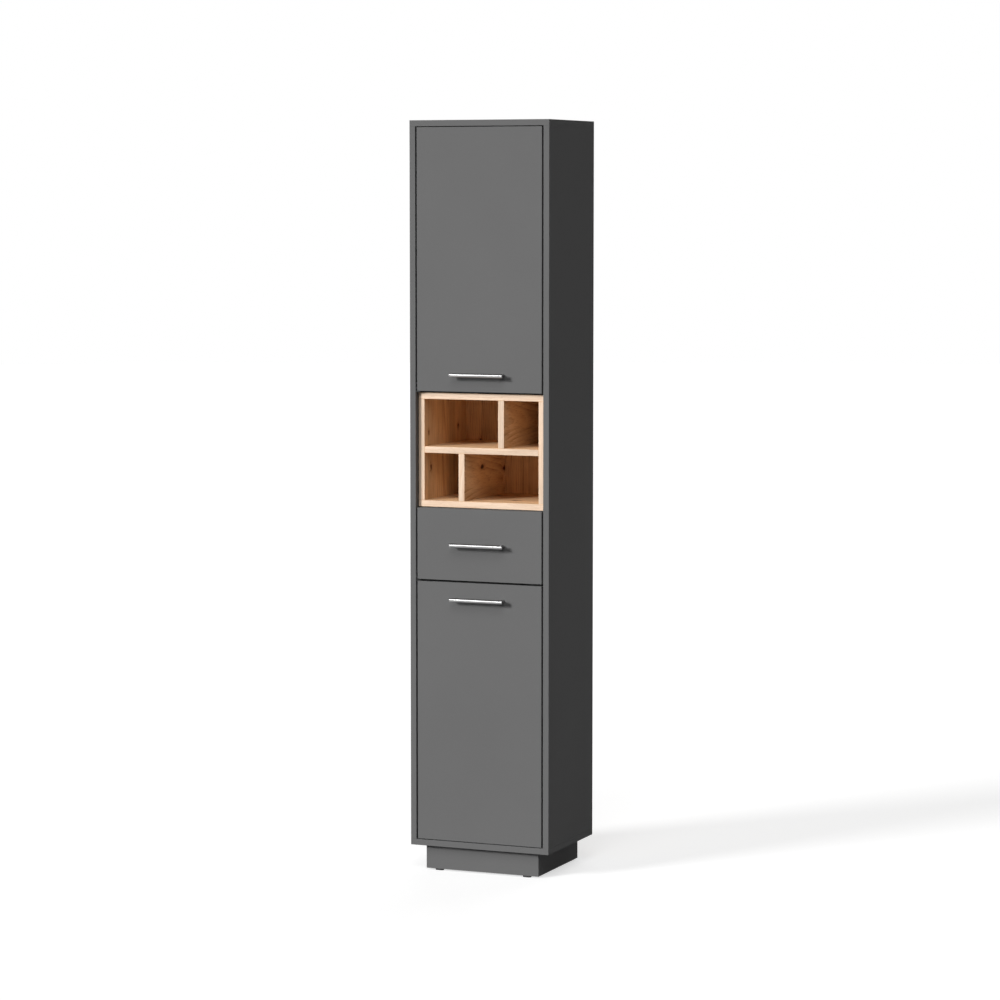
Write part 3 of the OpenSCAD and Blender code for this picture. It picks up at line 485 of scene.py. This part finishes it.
print_board("niche_top_board", "X", (0.07, 0.02), (0.02, 0.03), WIDE, 3.1)
print_board("niche_bottom_board", "X", (0.08, -0.03), (0.0, 0.04), WIDE, 7.7)
print_board("niche_left_board", "Z", (0.05, 0.03), (0.01, 0.03), STAVE, 1.4)
print_board("niche_right_board", "Z", (0.06, -0.02), (0.01, 0.03), STAVE, 9.2)
print_board("niche_middle_shelf", "X", (0.06, 0.03), (0.01, 0.05), WIDE, 5.6)
print_board("niche_upper_divider", "Y", (0.05, 0.012), (0.01, 0.085), WHOLE, 2.3, DIVIDER_RING)
print_board("niche_lower_divider", "Y", (0.055, -0.008), (0.01, 0.09), WHOLE, 6.9, DIVIDER_RING)
print_board("niche_back_board", "Z", (0.03, 0.06), (0.03, 0.01), STAVE, 4.5, across=0)
oak_edge_x = edge_band("oak_edge_x", "X", (0.04, 0.05))
oak_edge_z = edge_band("oak_edge_z", "Z", (0.05, 0.04))
print("oak boards:", len(OAK))

# %% [markdown]
# ## Metals
# The handles are steel bars, brushed along their length. An anisotropic shader would only
# stretch the highlight, but a noise drawn out along X gives fine scratches that also vary
# the tone and the sheen close up. The screws are zinc plated, with an even grain.


# %% Metals
def brushed_steel(name, colour, rough, along):
    mat, tree, shader, coords = new_material(name)
    scratches = noise(tree, stretched(tree, coords, along), 1.0, 3.0, 0.6).outputs[0]
    metal = toned(tree, colour, vary(tree, scratches, 0.9, 1.08))
    tree.links.new(metal, shader.inputs["Base Color"])
    shader.inputs["Metallic"].default_value = 1.0
    sheen = vary(tree, scratches, rough - 0.05, rough + 0.08)
    tree.links.new(sheen, shader.inputs["Roughness"])
    bump(tree, shader, scratches, 0.06, 0.00002)
    return mat


handle_steel = brushed_steel("handle_steel", srgb(157, 157, 157), 0.31, (150.0, 5000.0, 5000.0))
zinc_steel = brushed_steel("zinc_steel", srgb(182, 184, 188), 0.38, (900.0, 900.0, 900.0))
print("metals ready")

# %% [markdown]
# ## Coats and plastics
# The pivots are coated black, so that they vanish in the dark gaps. The runners have a white
# powder coat, the wheels are nylon, the glides are black plastic and the backs have a grey
# film. All of these have one colour under a fine skin of small pits, so one function makes
# them, with the size of the pits and their depth.


# %% Coats and plastics
def coated(name, colour, rough, grain_scale, depth):
    mat, tree, shader, coords = new_material(name)
    skin = noise(tree, coords, grain_scale, 2.0).outputs[0]
    coat = toned(tree, colour, vary(tree, skin, 0.93, 1.06))
    tree.links.new(coat, shader.inputs["Base Color"])
    sheen = vary(tree, skin, rough - 0.06, rough + 0.08)
    tree.links.new(sheen, shader.inputs["Roughness"])
    bump(tree, shader, skin, 0.3, depth)
    return mat


black_steel = coated("black_coated_steel", srgb(30, 30, 31), 0.45, 1800.0, 0.00006)
white_steel = coated("white_powder_coat", srgb(222, 222, 219), 0.42, 1500.0, 0.00008)
white_nylon = coated("white_nylon", srgb(226, 223, 215), 0.4, 700.0, 0.00004)
black_plastic = coated("black_plastic", srgb(24, 24, 25), 0.5, 1100.0, 0.0001)
grey_film = coated("grey_film", srgb(96, 96, 97), 0.5, 1300.0, 0.00005)
print("coats and plastics ready")

# %% [markdown]
# ## Beech
# The dowels are turned from beech, a plain wood with short flecks and no strong rings. One
# noise gives the flecks and a slightly rough skin. A dowel is hidden in its closed joint,
# so nothing finer is needed.


# %% Beech for the dowels
def beech():
    mat, tree, shader, coords = new_material("turned_beech")
    flecks = noise(tree, coords, 420.0, 4.0, 0.6).outputs[0]
    dark_beech, light_beech = srgb(188, 146, 100), srgb(221, 186, 140)
    colour = blend_colour(tree, remap(tree, flecks, 0.35, 0.65), dark_beech, light_beech)
    tree.links.new(colour, shader.inputs["Base Color"])
    shader.inputs["Roughness"].default_value = 0.7
    bump(tree, shader, flecks, 0.3, 0.0001)
    return mat


beech_wood = beech()
print("beech ready")

# %% [markdown]
# ## Finishes for the pieces that stay
# Every node of the construction model first gets the material of its slot. Most hidden
# pieces, such as dowels and cam locks, are already right in shape and keep only that.

# %% Assign by slot
SLOT_MATERIAL = {
    "grey_board": graphite_board,
    "grey_front": graphite_front,
    "oak_board": oak_edge_x,
    "back_panel": grey_film,
    "drawer_board": drawer_laminate,
    "dowel_wood": beech_wood,
    "handle_steel": handle_steel,
    "screw_steel": zinc_steel,
    "pivot_steel": black_steel,
    "pivot_plastic": black_plastic,
    "runner_steel": white_steel,
    "wheel_plastic": white_nylon,
    "glide_plastic": black_plastic,
}
for name, node in nodes.items():
    wanted = OAK.get(name, SLOT_MATERIAL[slot_of[name]])
    if not node.material_slots:
        node.data.materials.append(wanted)
    for place in node.material_slots:
        place.material = wanted
print("finished nodes:", len(nodes))

# %% [markdown]
# ## Easing the edges of the boards
# No real board has a knife edge. The film or the edge band is trimmed with a small radius,
# and that thin line catches the light and makes a board look real. A new box with a bevel
# would lose the bores and grooves, so a copy of each board is used: it is merged into one
# skin, its flat faces are dissolved to single faces, the outer edges are found by their
# place, and the bevel tool rounds them. A board has twelve, and a groove that runs out at
# an end of the board cuts an edge in two.

# %% Copy a board and find its outside
MERGE_REACH = 1e-6
FLAT_ANGLE = 0.5  # degrees between faces that count as one
ALONG_AXIS = 0.99  # how nearly a normal follows an axis
FACE_REACH, EDGE_REACH = 1e-5, 2e-5  # metres from the board's box


def merged_copy(name, materials):
    piece = nodes[name].copy()
    piece.data = nodes[name].data.copy()
    piece.name = name + "_eased"
    piece.parent = None
    piece.matrix_world = Matrix.Identity(4)
    bpy.context.scene.collection.objects.link(piece)
    bpy.ops.object.select_all(action="DESELECT")
    piece.select_set(True)
    bpy.context.view_layer.objects.active = piece
    piece.data.materials.clear()
    for mat in materials:
        piece.data.materials.append(mat)
    bpy.ops.object.mode_set(mode="EDIT")
    bpy.ops.mesh.select_mode(type="VERT")
    bpy.ops.mesh.select_all(action="SELECT")
    bpy.ops.mesh.remove_doubles(threshold=MERGE_REACH)
    bpy.ops.mesh.dissolve_limited(angle_limit=math.radians(FLAT_ANGLE))
    return piece


def outer_edges(bm, low, high):
    def sides(point):
        found = set()
        for axis in range(3):
            if abs(point[axis] - low[axis]) < EDGE_REACH:
                found.add((axis, 0))
            if abs(point[axis] - high[axis]) < EDGE_REACH:
                found.add((axis, 1))
        return found

    return [e for e in bm.edges if len(sides(e.verts[0].co) & sides(e.verts[1].co)) >= 2]


def outer_side(face, low, high):
    for axis in range(3):
        for end, side in ((low, -1.0), (high, 1.0)):
            near = abs(face.calc_center_median()[axis] - end[axis]) < FACE_REACH
            if near and face.normal[axis] * side > ALONG_AXIS:
                return axis, side
    return None


print("board helpers ready")

# %% [markdown]
# A face on the outside of the board takes the board's film, or another finish where a rule
# names its side. The walls of bores and grooves take the inside finish. Weighted normals
# then keep the large faces flat beside the narrow bevels.

# %% Ease one board
BEVEL_STEPS = 2
BOARD_SMOOTH = 32  # degrees


def even_normals(piece, angle):
    bpy.ops.object.shade_smooth_by_angle(angle=math.radians(angle))
    flat = piece.modifiers.new("flat_faces", "WEIGHTED_NORMAL")
    flat.keep_sharp = True
    bpy.ops.object.modifier_apply(modifier="flat_faces")


def eased(name, width, face, rules=(), inside=None):
    low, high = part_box(name)
    materials = [face] + [mat for _, mat in rules] + ([inside] if inside else [])
    inner_slot = len(materials) - 1 if inside else 0
    side_slot = {side: number + 1 for number, (side, _) in enumerate(rules)}
    piece = merged_copy(name, materials)
    bm = bmesh.from_edit_mesh(piece.data)
    for f in bm.faces:
        side = outer_side(f, low, high)
        f.material_index = side_slot.get(side, 0) if side else inner_slot
    bpy.ops.mesh.select_mode(type="EDGE")
    bpy.ops.mesh.select_all(action="DESELECT")
    edges = outer_edges(bm, low, high)
    for e in edges:
        e.select_set(True)
    bmesh.update_edit_mesh(piece.data)
    bpy.ops.mesh.bevel(offset=width, segments=BEVEL_STEPS, profile=0.5, affect="EDGES",
                       material=0)
    bpy.ops.object.mode_set(mode="OBJECT")
    for v in piece.data.vertices:
        v.co = [min(max(v.co[i], low[i]), high[i]) for i in range(3)]
    even_normals(piece, BOARD_SMOOTH)
    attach(piece, node_body[name])
    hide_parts(name)
    print(name, "edges eased:", len(edges), "faces:", len(piece.data.polygons))


# %% [markdown]
# ## The carcass
# The side panels, top, bottom and shelves are graphite laminate. Their rear edges stay raw,
# as on flat-pack furniture, and so do the grooves and bores. The ends of the fixed shelves
# are raw too, because they stand against the side panels. The plinth's boards have film
# all round.

# %% Carcass boards
# A side of a board is an axis and a direction along it.
LEFT, RIGHT, FRONT, REAR = (0, -1.0), (0, 1.0), (1, -1.0), (1, 1.0)
BOARD_EASE, SHELF_EASE, BACK_EASE = 0.0005, 0.0004, 0.0002
raw_rear = [(REAR, raw_board)]
raw_ends = [(LEFT, raw_board), (RIGHT, raw_board)]

for name in ("top_panel", "bottom_panel", "left_side_lower", "left_side_upper",
             "right_side_lower", "right_side_upper"):
    eased(name, BOARD_EASE, graphite_board, raw_rear, raw_board)
for name in ("drawer_shelf", "niche_floor", "niche_roof"):
    eased(name, SHELF_EASE, graphite_board, raw_ends + raw_rear, raw_board)
for name in ("lower_shelf", "upper_shelf"):
    eased(name, BOARD_EASE, graphite_board, raw_rear)
for name in ("plinth_front_board", "plinth_rear_board"):
    eased(name, BOARD_EASE, graphite_board, [], raw_board)
for name in ("lower_back", "upper_back"):
    eased(name, BACK_EASE, grey_film, [(REAR, raw_hardboard)], raw_hardboard)

# %% [markdown]
# ## The oak niche
# The box of the niche has its own boards. Their grain runs from side to side on the floors
# and the top, to the rear on the dividers, and upright on the sides and the back. The
# front edges carry a band with calm straight grain, which is lighter than the faces
# behind it. The band could be a strip of its own, but at this size a second material on
# the front face looks the same.

# %% Oak boards
OAK_EASE = 0.0006
for name in ("niche_top_board", "niche_bottom_board", "niche_middle_shelf"):
    eased(name, OAK_EASE, OAK[name], [(FRONT, oak_edge_x)])
for name in ("niche_left_board", "niche_right_board", "niche_upper_divider",
             "niche_lower_divider"):
    eased(name, OAK_EASE, OAK[name], [(FRONT, oak_edge_z)])
eased("niche_back_board", BOARD_EASE, OAK["niche_back_board"])

# %% [markdown]
# ## Doors and drawer
# The fronts get a thin edge band with a small radius, so that the gaps around them stay
# dark and crisp. The drawer's own boards have film on all their outer faces.

# %% Fronts and drawer boards
FRONT_EASE = 0.0003
for name in ("upper_door_panel", "lower_door_panel", "drawer_front"):
    eased(name, FRONT_EASE, graphite_front, [], raw_board)
for name in ("drawer_left_side", "drawer_right_side", "drawer_back"):
    eased(name, BOARD_EASE, drawer_laminate, [], raw_board)

# %% [markdown]
# ## Handles
# A handle is a round steel bar on two posts. The bar starts as a cylinder that lies along
# X, and its end faces are selected by their normals and bevelled, which gives the turned
# chamfer. Each post is a cylinder along Y that ends inside the bar, as a real post is
# threaded into it, and its foot has a small bevel where it stands on the front.

# %% Turned pieces
BOTH_ENDS, FAR_END = 0.0, 1.0


def cylinder(radius, depth, place, turn, sides):
    bpy.ops.object.select_all(action="DESELECT")
    bpy.ops.mesh.primitive_cylinder_add(vertices=sides, radius=radius, depth=depth,
                                        location=place, rotation=turn)
    bpy.ops.object.transform_apply(location=True, rotation=True, scale=True)
    return bpy.context.active_object


def bevel_ends(piece, axis, end, width, steps):
    bpy.ops.object.mode_set(mode="EDIT")
    bpy.ops.mesh.select_mode(type="FACE")
    bpy.ops.mesh.select_all(action="DESELECT")
    bm = bmesh.from_edit_mesh(piece.data)
    for f in bm.faces:
        f.select_set(abs(f.normal[axis]) > ALONG_AXIS and f.normal[axis] * end >= 0.0)
    bmesh.update_edit_mesh(piece.data)
    bpy.ops.mesh.bevel(offset=width, segments=steps, affect="EDGES")
    bpy.ops.object.mode_set(mode="OBJECT")


print("turning helpers ready")

# %% One handle
BAR_RADIUS, POST_RADIUS = 0.005, 0.004
POST_RUN = 0.064  # from the middle of the handle to a post
BAR_SIDES, POST_SIDES = 96, 64
BAR_CHAMFER, POST_CHAMFER = 0.0008, 0.0003
BAR_STEPS, POST_STEPS = 3, 2
HANDLE_SMOOTH = 40  # degrees


def make_handle(node_name):
    low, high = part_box(node_name)
    middle_x, middle_z = (low[0] + high[0]) / 2, (low[2] + high[2]) / 2
    bar_y = low[1] + BAR_RADIUS
    bar = cylinder(BAR_RADIUS, high[0] - low[0], (middle_x, bar_y, middle_z),
                   (0, math.pi / 2, 0), BAR_SIDES)
    bevel_ends(bar, 0, BOTH_ENDS, BAR_CHAMFER, BAR_STEPS)
    posts = []
    for side in (-1, 1):
        length = high[1] - bar_y
        place = (side * POST_RUN, bar_y + length / 2, middle_z)
        post = cylinder(POST_RADIUS, length, place, (math.pi / 2, 0, 0), POST_SIDES)
        bevel_ends(post, 1, FAR_END, POST_CHAMFER, POST_STEPS)
        posts.append(post)
    bpy.ops.object.select_all(action="DESELECT")
    for piece in posts + [bar]:
        piece.select_set(True)
    bpy.context.view_layer.objects.active = bar
    bpy.ops.object.join()
    bar.name = node_name + "_bar"
    bar.data.materials.clear()
    bar.data.materials.append(handle_steel)
    even_normals(bar, HANDLE_SMOOTH)
    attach(bar, node_body[node_name])
    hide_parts(node_name)
    print(bar.name, "faces:", len(bar.data.polygons))


for handle_name in ("upper_door_handle", "drawer_handle", "lower_door_handle"):
    make_handle(handle_name)

# %% [markdown]
# ## The floor
# The floor is a wide pale sheet that has to meet a white background and still take the
# cabinet's shadow. More light on it would bleach the cabinet too. So the Light Path node
# tells what looks: the camera, a reflection or a clear pane sees a paler sheet with a glow
# of its own, and the light that bounces up to the cabinet comes from a darker one.

# %% Floor
FLOOR_RADIUS, FLOOR_SIDES = 26.0, 96
FLOOR_BOUNCE, FLOOR_SEEN, FLOOR_GLOW = 0.16, 0.55, 0.62


def seen_by(tree, *rays):
    path = tree.nodes.new("ShaderNodeLightPath")
    seen = path.outputs[rays[0]]
    for ray in rays[1:]:
        seen = calc(tree, "MAXIMUM", seen, path.outputs[ray])
    return seen


bpy.ops.object.select_all(action="DESELECT")
bpy.ops.mesh.primitive_circle_add(vertices=FLOOR_SIDES, radius=FLOOR_RADIUS, fill_type="NGON",
                                  location=(0, 0, 0))
floor = bpy.context.active_object
floor.name = "studio_floor"
floor_mat, floor_tree, floor_shader, _ = new_material("floor_paint")
floor_shader.inputs["Roughness"].default_value = 0.9
floor_shader.inputs["Specular IOR Level"].default_value = 0.0
seen = seen_by(floor_tree, "Is Camera Ray", "Is Glossy Ray", "Is Transmission Ray")
sheet = remap(floor_tree, seen, 0.0, 1.0, FLOOR_BOUNCE, FLOOR_SEEN)
floor_tree.links.new(sheet, floor_shader.inputs["Base Color"])
glow = add(floor_tree, "ShaderNodeEmission", Color=(1, 1, 1, 1),
           Strength=times(floor_tree, seen, FLOOR_GLOW))
total = floor_tree.nodes.new("ShaderNodeAddShader")
floor_tree.links.new(floor_shader.outputs[0], total.inputs[0])
floor_tree.links.new(glow.outputs[0], total.inputs[1])
floor_tree.links.new(total.outputs[0], floor_tree.nodes["Material Output"].inputs["Surface"])
floor.data.materials.append(floor_mat)
print("floor radius", FLOOR_RADIUS, "m")

# %% [markdown]
# ## The background
# The world is white where the camera sees it. As a light it is kept low, so that the shaded
# side stays dark, and a reflection sees only a little more of it.

# %% World
WORLD_FILL, WORLD_SHINE = 0.06, 0.08
world = bpy.data.worlds.new("studio_world")
bpy.context.scene.world = world
world.use_nodes = True
sky = world.node_tree
white = times(sky, seen_by(sky, "Is Camera Ray", "Is Transmission Ray"), 1.0 - WORLD_FILL)
shine = times(sky, seen_by(sky, "Is Glossy Ray"), WORLD_SHINE)
level = calc(sky, "ADD", calc(sky, "ADD", WORLD_FILL, white), shine)
sky.links.new(level, sky.nodes["Background"].inputs["Strength"])
sky.nodes["Background"].inputs["Color"].default_value = (1.0, 1.0, 1.0, 1.0)
print("world fill", WORLD_FILL)

# %% [markdown]
# ## The lights
# Suns light a tall cabinet evenly from top to bottom, which near area lamps would not. The
# key is soft and comes from the upper left in front, as the shadows of the handles show. A
# wider sun from high in front, slightly to the right, reaches the floors of the niche. A
# weak one keeps the right side from going black, and a broad one behind lights the rear in
# other views.

# %% Suns
SUNS = {
    # name: direction towards the sun, strength, softness in degrees
    "key_sun": ((-0.68, -1.0, 0.44), 3.0, 16),
    "top_sun": ((0.25, -0.9, 1.0), 1.0, 35),
    "side_sun": ((1.0, -0.2, 0.2), 0.05, 30),
    "rear_sun": ((-0.10, 1.0, 0.50), 1.2, 60),
}
for name, (towards, energy, softness) in SUNS.items():
    data = bpy.data.lights.new(name, "SUN")
    data.energy = energy
    data.angle = math.radians(softness)
    sun = bpy.data.objects.new(name, data)
    sun.rotation_euler = Vector(towards).to_track_quat("Z", "Y").to_euler()
    bpy.context.scene.collection.objects.link(sun)
bpy.context.scene.view_settings.view_transform = "Standard"
print("suns:", len(SUNS))
